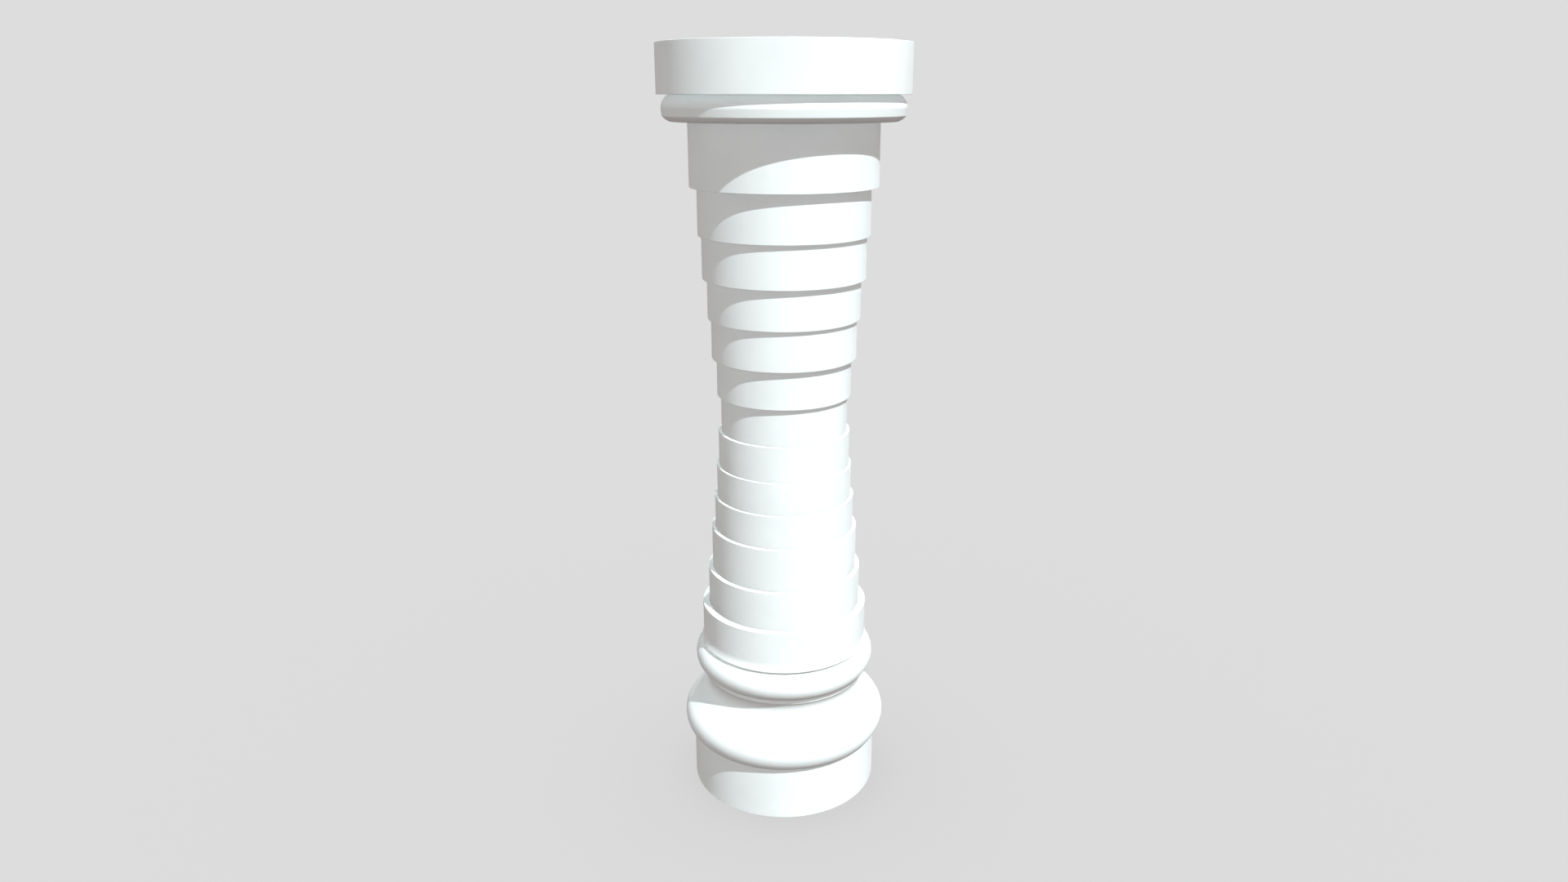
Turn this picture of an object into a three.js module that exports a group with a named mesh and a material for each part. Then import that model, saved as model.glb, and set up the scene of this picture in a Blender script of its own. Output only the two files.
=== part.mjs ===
// A free-standing round pillar of fine white stone, in seventeen blocks laid dry on one another.
// From the ground up: a plain plinth disc, a base block carved with two tori, thirteen drums that
// narrow to a waist and widen again, a rounded necking ring and a plain round abacus.
// Millimetres, +Z up, with the origin at the middle of the underside.
import * as THREE from "three";

// Plinth, the plain disc that the pillar stands on
const PLINTH_DIAMETER = 773;
const PLINTH_HEIGHT = 226;

// Base block: large torus, sloping shoulder, scotia, fillet and small torus, carved in one
const BASE_HEIGHT = 406;
const LARGE_TORUS_SECTION_RADIUS = 82;
const LARGE_TORUS_OVERHANG = 37; // past the side of the plinth
const SHOULDER_SLOPE = 40; // degrees between the shoulder's outward normal and the horizontal
const SCOTIA_RADIUS = 57;
const SCOTIA_NECK_DROP = 35; // from the fillet's underside to the narrowest part of the scotia
const FILLET_HEIGHT = 15.5;
const FILLET_SETBACK = 35.5; // inside the widest part of the small torus
const SMALL_TORUS_SECTION_RADIUS = 69;
const SMALL_TORUS_OVERHANG = 31; // past the edge of the base block's top face

// Foot of the lowest drum: a narrow recess above the joint, then a lip that sweeps up into the side
const RECESS_DEPTH = 5;
const RECESS_HEIGHT = 12.5;
const LIP_OVERHANG = 7.5;
const LIP_THICKNESS = 3;
const FLARE_HEIGHT = 33.5;
const TOP_FACE_MARGIN = 7; // ring of the base block's top face left bare around the recess

// Drums, from the lowest to the one under the necking ring; the seventh is the waist
const DRUM_01_DIAMETER = 678;
const DRUM_01_HEIGHT = 180;
const DRUM_02_DIAMETER = 624;
const DRUM_02_HEIGHT = 160;
const DRUM_03_DIAMETER = 590;
const DRUM_03_HEIGHT = 176;
const DRUM_04_DIAMETER = 561;
const DRUM_04_HEIGHT = 135;
const DRUM_05_DIAMETER = 540;
const DRUM_05_HEIGHT = 131;
const DRUM_06_DIAMETER = 522;
const DRUM_06_HEIGHT = 141;
const DRUM_07_DIAMETER = 498;
const DRUM_07_HEIGHT = 148;
const DRUM_08_DIAMETER = 527;
const DRUM_08_HEIGHT = 149;
const DRUM_09_DIAMETER = 564;
const DRUM_09_HEIGHT = 155;
const DRUM_10_DIAMETER = 590;
const DRUM_10_HEIGHT = 153;
const DRUM_11_DIAMETER = 626;
const DRUM_11_HEIGHT = 162;
const DRUM_12_DIAMETER = 653;
const DRUM_12_HEIGHT = 177;
const DRUM_13_DIAMETER = 708;
const DRUM_13_HEIGHT = 233;

// Necking ring: a rounded shoulder over a band that leans in towards its foot, and a rounded undercut
const RING_DIAMETER = 897;
const RING_SHOULDER_HEIGHT = 47;
const RING_SHOULDER_SETBACK = 30; // from the widest part in to the edge of the top face
const RING_BAND_HEIGHT = 26.5;
const RING_BAND_LEAN = 3;
const RING_UNDERCUT_HEIGHT = 19.5;
const RING_UNDERCUT_SETBACK = 27; // from the band's foot in to the edge of the underside
const RING_UNDERCUT_TILT = 38; // degrees that the undercut faces down where it leaves the band

// Abacus, the plain disc that carries the load
const ABACUS_DIAMETER = 928;
const ABACUS_HEIGHT = 175;

// Fineness of the round surfaces
const SIDES = 64;
const ARC_STEP = 14; // degrees

const STONE = { color: 0xf3f5f4, roughness: 0.6, metalness: 0 };

const HALF_TURN = 180; // degrees

// Beds are kept to a sixteenth of a millimetre, so that two blocks share one plane exactly.
const toBed = (height) => Math.round(height * 16) / 16;

// Points of a circular arc round (x, y), from one angle to another in degrees.
function arc(x, y, radius, from, to) {
  const steps = Math.max(2, Math.ceil(Math.abs(to - from) / ARC_STEP));
  return Array.from({ length: steps + 1 }, (_, step) => {
    const angle = THREE.MathUtils.degToRad(from + ((to - from) * step) / steps);
    return [x + radius * Math.cos(angle), y + radius * Math.sin(angle)];
  });
}

// A block turned about the pillar's axis from the profile of its side, given from bottom to top.
function turnedBlock(name, side, bed) {
  const foot = side[0];
  const head = side[side.length - 1];
  const profile = [[0, foot[1]], ...side, [0, head[1]]].map(([r, z]) => new THREE.Vector2(r, z));
  const geometry = new THREE.LatheGeometry(profile, SIDES).rotateX(Math.PI / 2);
  const block = new THREE.Mesh(geometry, new THREE.MeshStandardMaterial(STONE));
  block.name = name;
  block.position.z = bed;
  return block;
}

// A plain disc or drum with straight sides.
function straightSide(diameter, height) {
  return [
    [diameter / 2, 0],
    [diameter / 2, toBed(height)],
  ];
}

// The two tori of the base block, with the shoulder and the scotia between them.
function baseSide(topRadius) {
  const height = toBed(BASE_HEIGHT);
  const slope = THREE.MathUtils.degToRad(SHOULDER_SLOPE);
  const degrees = (sine) => THREE.MathUtils.radToDeg(Math.asin(sine));

  // The large torus starts at the plinth's edge and swells out past it.
  const large = LARGE_TORUS_SECTION_RADIUS;
  const largeX = PLINTH_DIAMETER / 2 + LARGE_TORUS_OVERHANG - large;
  const largeY = Math.sqrt(large ** 2 - (large - LARGE_TORUS_OVERHANG) ** 2);
  const largeStart = -degrees(largeY / large);

  // The small torus ends at the edge of the top face.
  const small = SMALL_TORUS_SECTION_RADIUS;
  const smallX = topRadius + SMALL_TORUS_OVERHANG - small;
  const smallY = height - Math.sqrt(small ** 2 - (small - SMALL_TORUS_OVERHANG) ** 2);
  const smallEnd = degrees((height - smallY) / small);

  // The fillet is a narrow upright band tucked under the small torus.
  const filletRadius = smallX + small - FILLET_SETBACK;
  const filletTop = smallY - Math.sqrt(small ** 2 - (small - FILLET_SETBACK) ** 2);
  const filletFoot = filletTop - FILLET_HEIGHT;
  const smallStart = -degrees((smallY - filletTop) / small);

  // The shoulder leaves the large torus as a straight slope, and the scotia is hollowed to meet it.
  const shoulderReach = largeX * Math.cos(slope) + largeY * Math.sin(slope) + large;
  const neckY = filletFoot - SCOTIA_NECK_DROP;
  const scotiaX = (shoulderReach + SCOTIA_RADIUS - neckY * Math.sin(slope)) / Math.cos(slope);
  const scotiaStart = HALF_TURN + SHOULDER_SLOPE;
  const scotiaEnd = HALF_TURN - degrees(SCOTIA_NECK_DROP / SCOTIA_RADIUS);

  return [
    ...arc(largeX, largeY, large, largeStart, SHOULDER_SLOPE),
    ...arc(scotiaX, neckY, SCOTIA_RADIUS, scotiaStart, scotiaEnd),
    [filletRadius, filletFoot],
    ...arc(smallX, smallY, small, smallStart, smallEnd),
  ];
}

// The lowest drum's side: recess, lip, and the concave sweep that dies into the straight side.
function flaredSide(diameter, height) {
  const radius = diameter / 2;
  const lipTop = RECESS_HEIGHT + LIP_THICKNESS;
  const sweep = 2 * Math.atan(LIP_OVERHANG / FLARE_HEIGHT);
  const sweepRadius = FLARE_HEIGHT / Math.sin(sweep);
  const sweepStart = HALF_TURN + THREE.MathUtils.radToDeg(sweep);
  return [
    [radius - RECESS_DEPTH, 0],
    [radius - RECESS_DEPTH, RECESS_HEIGHT],
    [radius + LIP_OVERHANG, RECESS_HEIGHT],
    ...arc(radius + sweepRadius, lipTop + FLARE_HEIGHT, sweepRadius, sweepStart, HALF_TURN),
    [radius, toBed(height)],
  ];
}

// The necking ring's side: rounded undercut, leaning band, and a shoulder that stands upright on the band.
function ringSide() {
  const radius = RING_DIAMETER / 2;
  const bandTop = RING_UNDERCUT_HEIGHT + RING_BAND_HEIGHT;
  const rise = toBed(bandTop + RING_SHOULDER_HEIGHT) - bandTop;
  const shoulder = (RING_SHOULDER_SETBACK ** 2 + rise ** 2) / (2 * RING_SHOULDER_SETBACK);
  const turn = 2 * THREE.MathUtils.radToDeg(Math.atan(RING_SHOULDER_SETBACK / rise));

  // The undercut's arc tilts as much past the line between its two ends as it starts short of it.
  const chord = Math.hypot(RING_UNDERCUT_SETBACK, RING_UNDERCUT_HEIGHT);
  const chordTilt = THREE.MathUtils.radToDeg(Math.atan(RING_UNDERCUT_SETBACK / RING_UNDERCUT_HEIGHT));
  const startTilt = THREE.MathUtils.degToRad(RING_UNDERCUT_TILT);
  const undercut = chord / (2 * Math.sin(THREE.MathUtils.degToRad(chordTilt - RING_UNDERCUT_TILT)));
  const undercutX = radius - RING_BAND_LEAN - undercut * Math.cos(startTilt);
  const undercutY = RING_UNDERCUT_HEIGHT + undercut * Math.sin(startTilt);
  const footTilt = 2 * chordTilt - RING_UNDERCUT_TILT;

  return [
    ...arc(undercutX, undercutY, undercut, -footTilt, -RING_UNDERCUT_TILT),
    ...arc(radius - shoulder, bandTop, shoulder, 0, turn),
  ];
}

const pillar = new THREE.Group();

// Each block's bed is the top of the one below it.
let bed = 0;
function lay(name, side) {
  pillar.add(turnedBlock(name, side, bed));
  bed += side[side.length - 1][1];
}

const topFaceRadius = DRUM_01_DIAMETER / 2 - RECESS_DEPTH + TOP_FACE_MARGIN;

lay("plinth", straightSide(PLINTH_DIAMETER, PLINTH_HEIGHT));
lay("base_block", baseSide(topFaceRadius));
lay("drum_01", flaredSide(DRUM_01_DIAMETER, DRUM_01_HEIGHT));
lay("drum_02", straightSide(DRUM_02_DIAMETER, DRUM_02_HEIGHT));
lay("drum_03", straightSide(DRUM_03_DIAMETER, DRUM_03_HEIGHT));
lay("drum_04", straightSide(DRUM_04_DIAMETER, DRUM_04_HEIGHT));
lay("drum_05", straightSide(DRUM_05_DIAMETER, DRUM_05_HEIGHT));
lay("drum_06", straightSide(DRUM_06_DIAMETER, DRUM_06_HEIGHT));
lay("drum_07", straightSide(DRUM_07_DIAMETER, DRUM_07_HEIGHT));
lay("drum_08", straightSide(DRUM_08_DIAMETER, DRUM_08_HEIGHT));
lay("drum_09", straightSide(DRUM_09_DIAMETER, DRUM_09_HEIGHT));
lay("drum_10", straightSide(DRUM_10_DIAMETER, DRUM_10_HEIGHT));
lay("drum_11", straightSide(DRUM_11_DIAMETER, DRUM_11_HEIGHT));
lay("drum_12", straightSide(DRUM_12_DIAMETER, DRUM_12_HEIGHT));
lay("drum_13", straightSide(DRUM_13_DIAMETER, DRUM_13_HEIGHT));
lay("necking_ring", ringSide());
lay("abacus", straightSide(ABACUS_DIAMETER, ABACUS_HEIGHT));

export default pillar;
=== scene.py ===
import math

import bmesh
import bpy
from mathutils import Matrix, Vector


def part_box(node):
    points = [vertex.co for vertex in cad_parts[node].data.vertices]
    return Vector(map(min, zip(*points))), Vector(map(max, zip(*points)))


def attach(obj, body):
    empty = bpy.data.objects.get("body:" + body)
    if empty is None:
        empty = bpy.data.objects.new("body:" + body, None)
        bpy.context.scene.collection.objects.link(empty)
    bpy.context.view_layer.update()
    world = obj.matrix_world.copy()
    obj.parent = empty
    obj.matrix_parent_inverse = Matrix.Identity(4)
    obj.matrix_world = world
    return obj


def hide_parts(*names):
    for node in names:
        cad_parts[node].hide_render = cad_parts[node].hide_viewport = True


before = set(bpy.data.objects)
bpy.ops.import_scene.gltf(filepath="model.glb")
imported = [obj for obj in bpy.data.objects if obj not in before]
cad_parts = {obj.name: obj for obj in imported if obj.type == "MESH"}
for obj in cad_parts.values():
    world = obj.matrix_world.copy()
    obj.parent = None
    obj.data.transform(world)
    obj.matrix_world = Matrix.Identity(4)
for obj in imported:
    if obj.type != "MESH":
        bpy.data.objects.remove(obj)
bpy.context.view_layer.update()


# Camera: stands in front of the pillar, a little below the top of its abacus, and looks down at its middle
# through a wide lens, so that the abacus is seen from just under its top and the plinth from well above.
CAMERA_DISTANCE = 4.1007  # metres, like every length in this file whose line names no other unit
CAMERA_HEIGHT = 2.8308
CAMERA_LOOKS_DOWN = math.radians(17.988)
CAMERA_LENS = 24.634  # millimetres
CAMERA_SENSOR = 36  # millimetres
CAMERA_REACH = 200

bpy.ops.object.select_all(action="DESELECT")
bpy.ops.object.camera_add(
    location=(0, -CAMERA_DISTANCE, CAMERA_HEIGHT),
    rotation=(math.radians(90) - CAMERA_LOOKS_DOWN, 0, 0),
)
camera = bpy.context.object
camera.name = "camera"
camera.data.sensor_fit = "HORIZONTAL"
camera.data.sensor_width = CAMERA_SENSOR
camera.data.lens = CAMERA_LENS
camera.data.clip_end = CAMERA_REACH
bpy.context.scene.camera = camera


# Plinth: a plain disc of white stone that the pillar stands on, sawn flat and turned true.
# It is rubbed to a satin, and its two arrises are eased so that they don't chip.
ROUND_SIDES = 256
ARRIS = 0.0012
ARRIS_STEPS = 4
SMOOTH_ANGLE = math.radians(32)
SAME_PLACE = 0.00005
PLINTH_PATTERN = (0.0, 0.0, 0.0)  # where its stone's pattern starts, a different place for each block

# A pair of places tells where one look gives way to the other in a noise, which runs from 0 to 1.
CLOUD_DARK = (0.872, 0.884, 0.880, 1)
CLOUD_LIGHT = (0.915, 0.925, 0.922, 1)
CLOUD_PLACES = (0.34, 0.62)
CLOUDS_PER_METRE = 4.5
GRAIN_DARK = (0.80, 0.80, 0.80, 1)
GRAIN_PLACES = (0.48, 0.75)
GRAIN_PER_METRE = 420
GRAIN_SHARE = 0.10
GRAIN_DEPTH = 0.00018
SATIN = (0.46, 0.58)
SATIN_PLACES = (0.3, 0.7)
UNEVENNESS_PER_METRE = 16
UNEVENNESS_DEPTH = 0.0005
STONE_REFRACTION = 1.5

# The sockets of a Mix node share their names, so those for colours are told by number.
MIX_SHARE = 0
MIX_COLOUR = 6
MIX_SECOND_COLOUR = 7
MIXED_COLOUR = 2


def add_node(tree, node_type, **inputs):
    """A new node in a material or surround, with each named input set to a value or linked to a socket."""
    node = tree.nodes.new(node_type)
    for name, value in inputs.items():
        socket = node.inputs[name.replace("_", " ")]
        if isinstance(value, bpy.types.NodeSocket):
            tree.links.new(value, socket)
        else:
            socket.default_value = value
    return node


def spread(tree, value, places, results):
    """A socket that runs from one result to the other as a value passes from one place to the other."""
    node = add_node(tree, "ShaderNodeMapRange", Value=value)
    ends = dict(zip(("From Min", "From Max", "To Min", "To Max"), (*places, *results)))
    for name, end in ends.items():
        node.inputs[name].default_value = end
    return node.outputs["Result"]


def white_stone(name, pattern_offset):
    """Fine white stone: a faint cloud, a crystal grain, and the slight unevenness of a rubbed face."""
    stone = bpy.data.materials.new(name)
    stone.use_nodes = True
    tree = stone.node_tree
    shader = tree.nodes["Principled BSDF"]
    shader.inputs["IOR"].default_value = STONE_REFRACTION

    place = tree.nodes.new("ShaderNodeTexCoord")
    pattern = add_node(tree, "ShaderNodeMapping", Vector=place.outputs["Object"], Location=pattern_offset)
    where = pattern.outputs["Vector"]

    cloud = add_node(
        tree, "ShaderNodeTexNoise", Vector=where, Scale=CLOUDS_PER_METRE, Detail=5, Roughness=0.55
    )
    cloud_colour = tree.nodes.new("ShaderNodeValToRGB")
    stops = cloud_colour.color_ramp.elements
    for stop, position, colour in zip(stops, CLOUD_PLACES, (CLOUD_DARK, CLOUD_LIGHT)):
        stop.position = position
        stop.color = colour
    tree.links.new(cloud.outputs["Fac"], cloud_colour.inputs["Fac"])

    grain = add_node(
        tree, "ShaderNodeTexNoise", Vector=where, Scale=GRAIN_PER_METRE, Detail=3, Roughness=0.6
    )
    grain_fade = spread(tree, grain.outputs["Fac"], GRAIN_PLACES, (0, GRAIN_SHARE))
    grained = tree.nodes.new("ShaderNodeMix")
    grained.data_type = "RGBA"
    grained.blend_type = "MULTIPLY"
    tree.links.new(grain_fade, grained.inputs[MIX_SHARE])
    tree.links.new(cloud_colour.outputs["Color"], grained.inputs[MIX_COLOUR])
    grained.inputs[MIX_SECOND_COLOUR].default_value = GRAIN_DARK
    tree.links.new(grained.outputs[MIXED_COLOUR], shader.inputs["Base Color"])

    satin = spread(tree, cloud.outputs["Fac"], SATIN_PLACES, SATIN)
    tree.links.new(satin, shader.inputs["Roughness"])

    rubbed = add_node(tree, "ShaderNodeTexNoise", Vector=where, Scale=UNEVENNESS_PER_METRE, Detail=2)
    uneven = add_node(
        tree, "ShaderNodeBump", Height=rubbed.outputs["Fac"], Strength=0.5, Distance=UNEVENNESS_DEPTH
    )
    pitted = add_node(
        tree, "ShaderNodeBump", Height=grain.outputs["Fac"], Strength=0.4, Distance=GRAIN_DEPTH
    )
    tree.links.new(uneven.outputs["Normal"], pitted.inputs["Normal"])
    tree.links.new(pitted.outputs["Normal"], shader.inputs["Normal"])
    return stone


def ease_arrises(block, arrises, width=ARRIS):
    """Rounds the circular edges of a turned block that lie at the given radii and heights."""
    bpy.ops.object.mode_set(mode="EDIT")
    bpy.ops.mesh.select_mode(type="EDGE")
    bpy.ops.mesh.select_all(action="DESELECT")
    shape = bmesh.from_edit_mesh(block.data)
    for edge in shape.edges:
        ends = [(corner.co.xy.length, corner.co.z) for corner in edge.verts]
        edge.select = any(
            all(abs(r - radius) < SAME_PLACE and abs(z - height) < SAME_PLACE for r, z in ends)
            for radius, height in arrises
        )
    shape.select_flush_mode()
    bmesh.update_edit_mesh(block.data)
    bpy.ops.mesh.bevel(offset=width, segments=ARRIS_STEPS, profile=0.5, affect="EDGES")
    bpy.ops.object.mode_set(mode="OBJECT")


def finish_block(block, node, pattern_offset):
    """Smooths a block's rounds, keeps its flat faces true, gives it its stone, and lays it for its node."""
    bpy.ops.object.shade_smooth_by_angle(angle=SMOOTH_ANGLE)
    bpy.ops.object.modifier_add(type="WEIGHTED_NORMAL")
    block.modifiers[-1].keep_sharp = True
    bpy.ops.object.modifier_apply(modifier=block.modifiers[-1].name)
    block.data.materials.append(white_stone("white_stone_" + node, pattern_offset))
    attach(block, "root")
    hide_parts(node)


def straight_block(node, pattern_offset):
    """A plain disc or drum that fills its node, with both arrises eased."""
    low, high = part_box(node)
    bpy.ops.object.select_all(action="DESELECT")
    bpy.ops.mesh.primitive_cylinder_add(
        vertices=ROUND_SIDES,
        radius=high.x,
        depth=high.z - low.z,
        location=(0, 0, (low.z + high.z) / 2),
        end_fill_type="NGON",
    )
    block = bpy.context.object
    block.name = node + "_stone"
    bpy.ops.object.transform_apply(location=True, rotation=True, scale=True)
    ease_arrises(block, [(high.x, low.z), (high.x, high.z)])
    finish_block(block, node, pattern_offset)


straight_block("plinth", PLINTH_PATTERN)


# Base block: one block of the same stone, turned to a large torus, a sloping shoulder, a hollow scotia,
# a narrow upright fillet and a small torus. It beds dry on the plinth, flush with the plinth's edge.
LARGE_TORUS_SECTION = 0.082
LARGE_TORUS_OVERHANG = 0.037
SHOULDER_SLOPE = 40  # degrees between the shoulder's outward direction and the level
SCOTIA_SECTION = 0.057
SCOTIA_NECK_DROP = 0.035
FILLET_HEIGHT = 0.0155
FILLET_SETBACK = 0.0355
SMALL_TORUS_SECTION = 0.069
SMALL_TORUS_OVERHANG = 0.031
TOP_FACE_MARGIN = 0.007
RECESS_DEPTH = 0.005  # of the recess in the foot of the lowest drum, which stands on the top face
LIP_OVERHANG = 0.0075  # of the lip over that recess
BASE_PATTERN = (1.7, 0.4, 2.1)
OUTLINE_STEP = 3  # degrees
HALF_TURN = 180  # degrees
FULL_TURN = math.radians(360)


def arc(centre, section, start, end):
    """Points of a circular arc round a centre, given as radius and height, from one angle to another."""
    steps = max(2, math.ceil(abs(end - start) / OUTLINE_STEP))
    angles = [math.radians(start + (end - start) * step / steps) for step in range(steps + 1)]
    return [(centre[0] + section * math.cos(a), centre[1] + section * math.sin(a)) for a in angles]


def turned_block(node, outline):
    """A block whose side is drawn as one line from foot to head, and spun about the pillar's axis."""
    drawn = [(0, outline[0][1]), *outline, (0, outline[-1][1])]
    bpy.ops.object.select_all(action="DESELECT")
    bpy.ops.mesh.primitive_plane_add(location=(0, 0, 0))
    block = bpy.context.object
    block.name = node + "_stone"
    bpy.ops.object.mode_set(mode="EDIT")
    bpy.ops.mesh.select_mode(type="VERT")
    bpy.ops.mesh.merge(type="CENTER")
    bpy.ops.transform.translate(value=(0, 0, drawn[0][1]))
    for (radius, height), (next_radius, next_height) in zip(drawn, drawn[1:]):
        step = (next_radius - radius, 0, next_height - height)
        bpy.ops.mesh.extrude_region_move(TRANSFORM_OT_translate={"value": step})
    bpy.ops.mesh.select_all(action="SELECT")
    bpy.ops.mesh.spin(steps=ROUND_SIDES, angle=FULL_TURN, center=(0, 0, 0), axis=(0, 0, 1))
    bpy.ops.mesh.select_all(action="SELECT")
    bpy.ops.mesh.remove_doubles(threshold=SAME_PLACE / 2)
    bpy.ops.mesh.normals_make_consistent(inside=False)
    bpy.ops.object.mode_set(mode="OBJECT")
    return block


_, plinth_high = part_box("plinth")
base_low, base_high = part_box("base_block")
lowest_low, lowest_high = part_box("drum_01")
lowest_radius = lowest_high.x - LIP_OVERHANG
top_face_radius = lowest_radius - RECESS_DEPTH + TOP_FACE_MARGIN

large_centre = (
    plinth_high.x + LARGE_TORUS_OVERHANG - LARGE_TORUS_SECTION,
    base_low.z + math.sqrt(LARGE_TORUS_SECTION**2 - (LARGE_TORUS_SECTION - LARGE_TORUS_OVERHANG) ** 2),
)
large_start = -math.degrees(math.asin((large_centre[1] - base_low.z) / LARGE_TORUS_SECTION))

small_centre = (
    top_face_radius + SMALL_TORUS_OVERHANG - SMALL_TORUS_SECTION,
    base_high.z - math.sqrt(SMALL_TORUS_SECTION**2 - (SMALL_TORUS_SECTION - SMALL_TORUS_OVERHANG) ** 2),
)
small_end = math.degrees(math.asin((base_high.z - small_centre[1]) / SMALL_TORUS_SECTION))

fillet_radius = small_centre[0] + SMALL_TORUS_SECTION - FILLET_SETBACK
fillet_drop = math.sqrt(SMALL_TORUS_SECTION**2 - (SMALL_TORUS_SECTION - FILLET_SETBACK) ** 2)
fillet_foot = small_centre[1] - fillet_drop - FILLET_HEIGHT
small_start = -math.degrees(math.asin(fillet_drop / SMALL_TORUS_SECTION))

slope = math.radians(SHOULDER_SLOPE)
neck_height = fillet_foot - SCOTIA_NECK_DROP
shoulder_reach = large_centre[0] * math.cos(slope) + large_centre[1] * math.sin(slope) + LARGE_TORUS_SECTION
scotia_centre = (
    (shoulder_reach + SCOTIA_SECTION - neck_height * math.sin(slope)) / math.cos(slope),
    neck_height,
)
scotia_end = HALF_TURN - math.degrees(math.asin(SCOTIA_NECK_DROP / SCOTIA_SECTION))

base = turned_block(
    "base_block",
    [
        *arc(large_centre, LARGE_TORUS_SECTION, large_start, SHOULDER_SLOPE),
        *arc(scotia_centre, SCOTIA_SECTION, HALF_TURN + SHOULDER_SLOPE, scotia_end),
        (fillet_radius, fillet_foot),
        *arc(small_centre, SMALL_TORUS_SECTION, small_start, small_end),
    ],
)
ease_arrises(base, [(plinth_high.x, base_low.z), (fillet_radius, fillet_foot)])
finish_block(base, "base_block", BASE_PATTERN)


# Lowest drum: its foot is undercut by a narrow recess, so that a shadow line parts it from the base, and
# over the recess a thin lip sweeps up into the straight side. It is turned from one block.
RECESS_HEIGHT = 0.0125
LIP_THICKNESS = 0.003
FLARE_HEIGHT = 0.0335
LIP_EDGE = 0.001
LOWEST_DRUM_PATTERN = (3.1, 1.9, 0.8)

lip_foot = lowest_low.z + RECESS_HEIGHT
sweep = 2 * math.atan(LIP_OVERHANG / FLARE_HEIGHT)
sweep_section = FLARE_HEIGHT / math.sin(sweep)
sweep_centre = (lowest_radius + sweep_section, lip_foot + LIP_THICKNESS + FLARE_HEIGHT)
lowest_drum = turned_block(
    "drum_01",
    [
        (lowest_radius - RECESS_DEPTH, lowest_low.z),
        (lowest_radius - RECESS_DEPTH, lip_foot),
        (lowest_radius + LIP_OVERHANG, lip_foot),
        *arc(sweep_centre, sweep_section, HALF_TURN + math.degrees(sweep), HALF_TURN),
        (lowest_radius, lowest_high.z),
    ],
)
ease_arrises(lowest_drum, [(lowest_radius, lowest_high.z)])
ease_arrises(lowest_drum, [(lowest_radius + LIP_OVERHANG, lip_foot)], LIP_EDGE)
finish_block(lowest_drum, "drum_01", LOWEST_DRUM_PATTERN)


# Upper drums: twelve plain discs laid dry, one on the other, each turned to its own diameter.
# They narrow to the waist and widen again, and every joint shows as a sharp step with eased arrises.
FIRST_UPPER_DRUM = 2
LAST_UPPER_DRUM = 13
PATTERN_STEP = (0.73, -1.31, 0.47)

for number in range(FIRST_UPPER_DRUM, LAST_UPPER_DRUM + 1):
    pattern = tuple(number * step for step in PATTERN_STEP)
    straight_block(f"drum_{number:02d}", pattern)


# Necking ring: a rounded disc under the abacus, turned from one block to a rounded shoulder,
# a narrow band that leans in towards its foot, and a rounded undercut.
RING_SHOULDER_HEIGHT = 0.047
RING_SHOULDER_SETBACK = 0.030
RING_BAND_LEAN = 0.003
RING_UNDERCUT_HEIGHT = 0.0195
RING_UNDERCUT_SETBACK = 0.027
RING_UNDERCUT_TILT = 38  # degrees that the undercut faces down where it leaves the band
RING_PATTERN = (0.9, 2.7, 4.4)

ring_low, ring_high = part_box("necking_ring")
band_top = ring_high.z - RING_SHOULDER_HEIGHT
band_foot = (ring_high.x - RING_BAND_LEAN, ring_low.z + RING_UNDERCUT_HEIGHT)
shoulder_section = (RING_SHOULDER_SETBACK**2 + RING_SHOULDER_HEIGHT**2) / (2 * RING_SHOULDER_SETBACK)
shoulder_turn = 2 * math.degrees(math.atan(RING_SHOULDER_SETBACK / RING_SHOULDER_HEIGHT))

chord = math.hypot(RING_UNDERCUT_SETBACK, RING_UNDERCUT_HEIGHT)
chord_tilt = math.degrees(math.atan(RING_UNDERCUT_SETBACK / RING_UNDERCUT_HEIGHT))
start_tilt = math.radians(RING_UNDERCUT_TILT)
undercut_section = chord / (2 * math.sin(math.radians(chord_tilt - RING_UNDERCUT_TILT)))
undercut_centre = (
    band_foot[0] - undercut_section * math.cos(start_tilt),
    band_foot[1] + undercut_section * math.sin(start_tilt),
)
foot_tilt = 2 * chord_tilt - RING_UNDERCUT_TILT

ring = turned_block(
    "necking_ring",
    [
        *arc(undercut_centre, undercut_section, -foot_tilt, -RING_UNDERCUT_TILT),
        *arc((ring_high.x - shoulder_section, band_top), shoulder_section, 0, shoulder_turn),
    ],
)
ease_arrises(ring, [band_foot, (ring_high.x, band_top)])
finish_block(ring, "necking_ring", RING_PATTERN)


# Abacus: the plain round slab that takes the load, as wide as the pillar gets.
# It is sawn and turned like the drums, and rests on the necking ring.
ABACUS_PATTERN = (2.2, 3.3, 5.1)

straight_block("abacus", ABACUS_PATTERN)


# Floor: a plain pale ground under the plinth. It is as bright as the backdrop behind it, so that no
# horizon shows, and takes only a soft shade round the pillar's foot.
FLOOR_SIZE = 160
PALE_GREY = 0.723
FLOOR_REFLECTS = 0.12
LIGHT_ON_FLOOR = (1.492, 1.467, 1.458)  # what reaches open floor; the floor's own glow makes up the rest

bpy.ops.object.select_all(action="DESELECT")
bpy.ops.mesh.primitive_plane_add(size=FLOOR_SIZE, location=(0, 0, 0))
floor = bpy.context.object
floor.name = "floor"
floor.visible_diffuse = False
floor.visible_glossy = False

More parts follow.
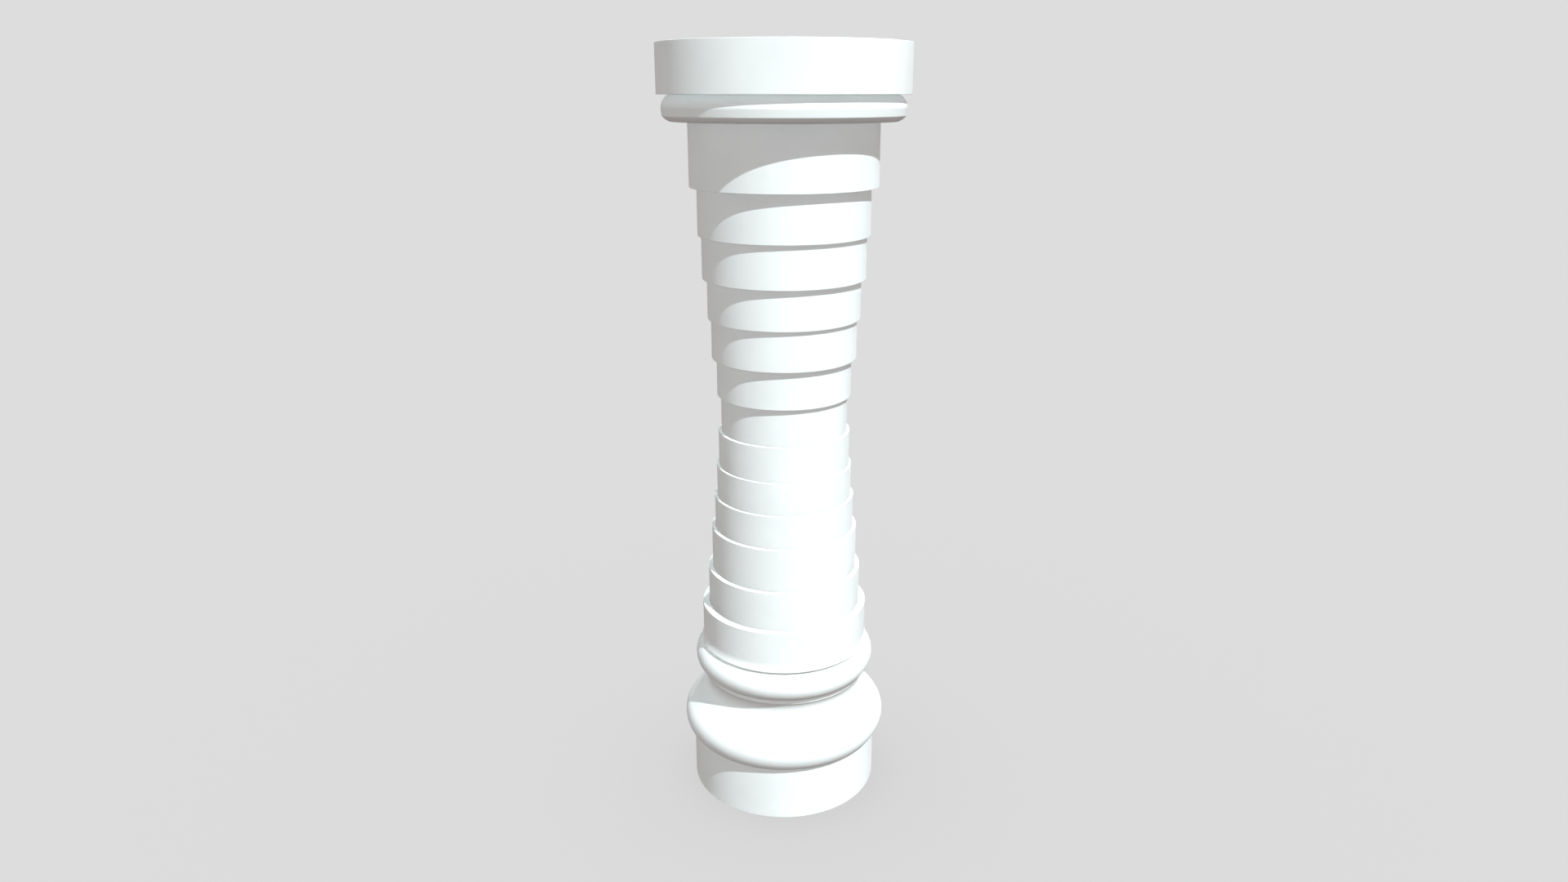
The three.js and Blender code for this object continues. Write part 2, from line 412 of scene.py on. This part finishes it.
ground = bpy.data.materials.new("pale_ground")
ground.use_nodes = True
ground_shader = ground.node_tree.nodes["Principled BSDF"]
ground_shader.inputs["Base Color"].default_value = (FLOOR_REFLECTS,) * 3 + (1,)
ground_shader.inputs["Roughness"].default_value = 1
ground_shader.inputs["Specular IOR Level"].default_value = 0
ground_glow = tuple(PALE_GREY - FLOOR_REFLECTS * light for light in LIGHT_ON_FLOOR)
ground_shader.inputs["Emission Color"].default_value = (*ground_glow, 1)
ground_shader.inputs["Emission Strength"].default_value = 1
floor.data.materials.append(ground)


# Studio light: a key light high on the right, whose shadows cross the shaft, a weaker light behind the
# pillar, a very soft overhead fill that casts no shadow, and a dim surround. These lamps leave the floor
# alone, and one more, straight above, lights only the floor and leaves a soft shade round the foot.
LAMP_COLOUR = (0.885, 1.0, 1.017)
LAMP_DISTANCE = 6
KEY_TO_THE_RIGHT = math.radians(33.2)
KEY_ABOVE = math.radians(53.4)
KEY_STRENGTH = 4.1
KEY_WIDTH = math.radians(0.7)
BACK_TO_THE_RIGHT = math.radians(160)
BACK_ABOVE = math.radians(35)
BACK_STRENGTH = 2.2
BACK_WIDTH = math.radians(3)
FILL_FROM = Vector((0, -0.2, 1))
FILL_STRENGTH = 1.61
FILL_COLOUR = (0.833, 1.0, 1.022)
FILL_WIDTH = math.radians(150)
FLOOR_LIGHT_FROM = Vector((0, 0, 1))
FLOOR_LIGHT_STRENGTH = 3.9
FLOOR_LIGHT_COLOUR = (1, 1, 1)
FLOOR_LIGHT_WIDTH = math.radians(100)
SURROUND_BELOW = (0.215, 0.215, 0.210, 1)
SURROUND_LEVEL = (0.410, 0.345, 0.330, 1)
SURROUND_ABOVE = (0.175, 0.165, 0.165, 1)
SURROUND_MIDDLE = 0.5  # where the gradient from straight down to straight up is level


def lamp(name, direction, strength, colour, width, floor_is):
    """A distant lamp, as wide as its angle, whose light doesn't bounce, for the floor or for all but it."""
    facing = direction.to_track_quat("Z", "Y").to_euler()
    bpy.ops.object.light_add(type="SUN", location=direction.normalized() * LAMP_DISTANCE, rotation=facing)
    light = bpy.context.object
    light.name = name
    light.data.energy = strength
    light.data.color = colour
    light.data.angle = width
    light.data.cycles.max_bounces = 0
    reach = bpy.data.collections.new("reach_of_" + name)
    reach.objects.link(floor)
    reach.collection_objects[0].light_linking.link_state = floor_is
    light.light_linking.receiver_collection = reach
    return light


def towards(to_the_right, above):
    """The direction at an angle round the pillar from its front, and at an angle above the level."""
    return Vector((
        math.cos(above) * math.sin(to_the_right),
        -math.cos(above) * math.cos(to_the_right),
        math.sin(above),
    ))


lamp("key_light", towards(KEY_TO_THE_RIGHT, KEY_ABOVE), KEY_STRENGTH, LAMP_COLOUR, KEY_WIDTH, "EXCLUDE")
lamp("back_light", towards(BACK_TO_THE_RIGHT, BACK_ABOVE), BACK_STRENGTH, LAMP_COLOUR, BACK_WIDTH, "EXCLUDE")
fill = lamp("fill_light", FILL_FROM, FILL_STRENGTH, FILL_COLOUR, FILL_WIDTH, "EXCLUDE")
fill.data.use_shadow = False
fill.data.cycles.use_multiple_importance_sampling = False
fill.visible_glossy = False
lamp("floor_light", FLOOR_LIGHT_FROM, FLOOR_LIGHT_STRENGTH, FLOOR_LIGHT_COLOUR, FLOOR_LIGHT_WIDTH, "INCLUDE")

surround = bpy.data.worlds.new("surround")
surround.use_nodes = True
sky = surround.node_tree
sky.nodes.clear()
direction = sky.nodes.new("ShaderNodeTexCoord")
parts = add_node(sky, "ShaderNodeSeparateXYZ", Vector=direction.outputs["Generated"])
upward = spread(sky, parts.outputs["Z"], (-1, 1), (0, 1))
gradient = sky.nodes.new("ShaderNodeValToRGB")
gradient.color_ramp.elements[0].color = SURROUND_BELOW
gradient.color_ramp.elements[1].color = SURROUND_ABOVE
gradient.color_ramp.elements.new(SURROUND_MIDDLE).color = SURROUND_LEVEL
sky.links.new(upward, gradient.inputs["Fac"])
lighting = add_node(sky, "ShaderNodeBackground", Color=gradient.outputs["Color"])
backdrop = add_node(sky, "ShaderNodeBackground", Color=(PALE_GREY,) * 3 + (1,))
ray = sky.nodes.new("ShaderNodeLightPath")
chosen = sky.nodes.new("ShaderNodeMixShader")
seen_by_the_stone, seen_by_the_camera = chosen.inputs[1:]
sky.links.new(ray.outputs["Is Camera Ray"], chosen.inputs["Fac"])
sky.links.new(lighting.outputs["Background"], seen_by_the_stone)
sky.links.new(backdrop.outputs["Background"], seen_by_the_camera)
output = sky.nodes.new("ShaderNodeOutputWorld")
sky.links.new(chosen.outputs["Shader"], output.inputs["Surface"])
bpy.context.scene.world = surround
bpy.context.scene.view_settings.view_transform = "Standard"
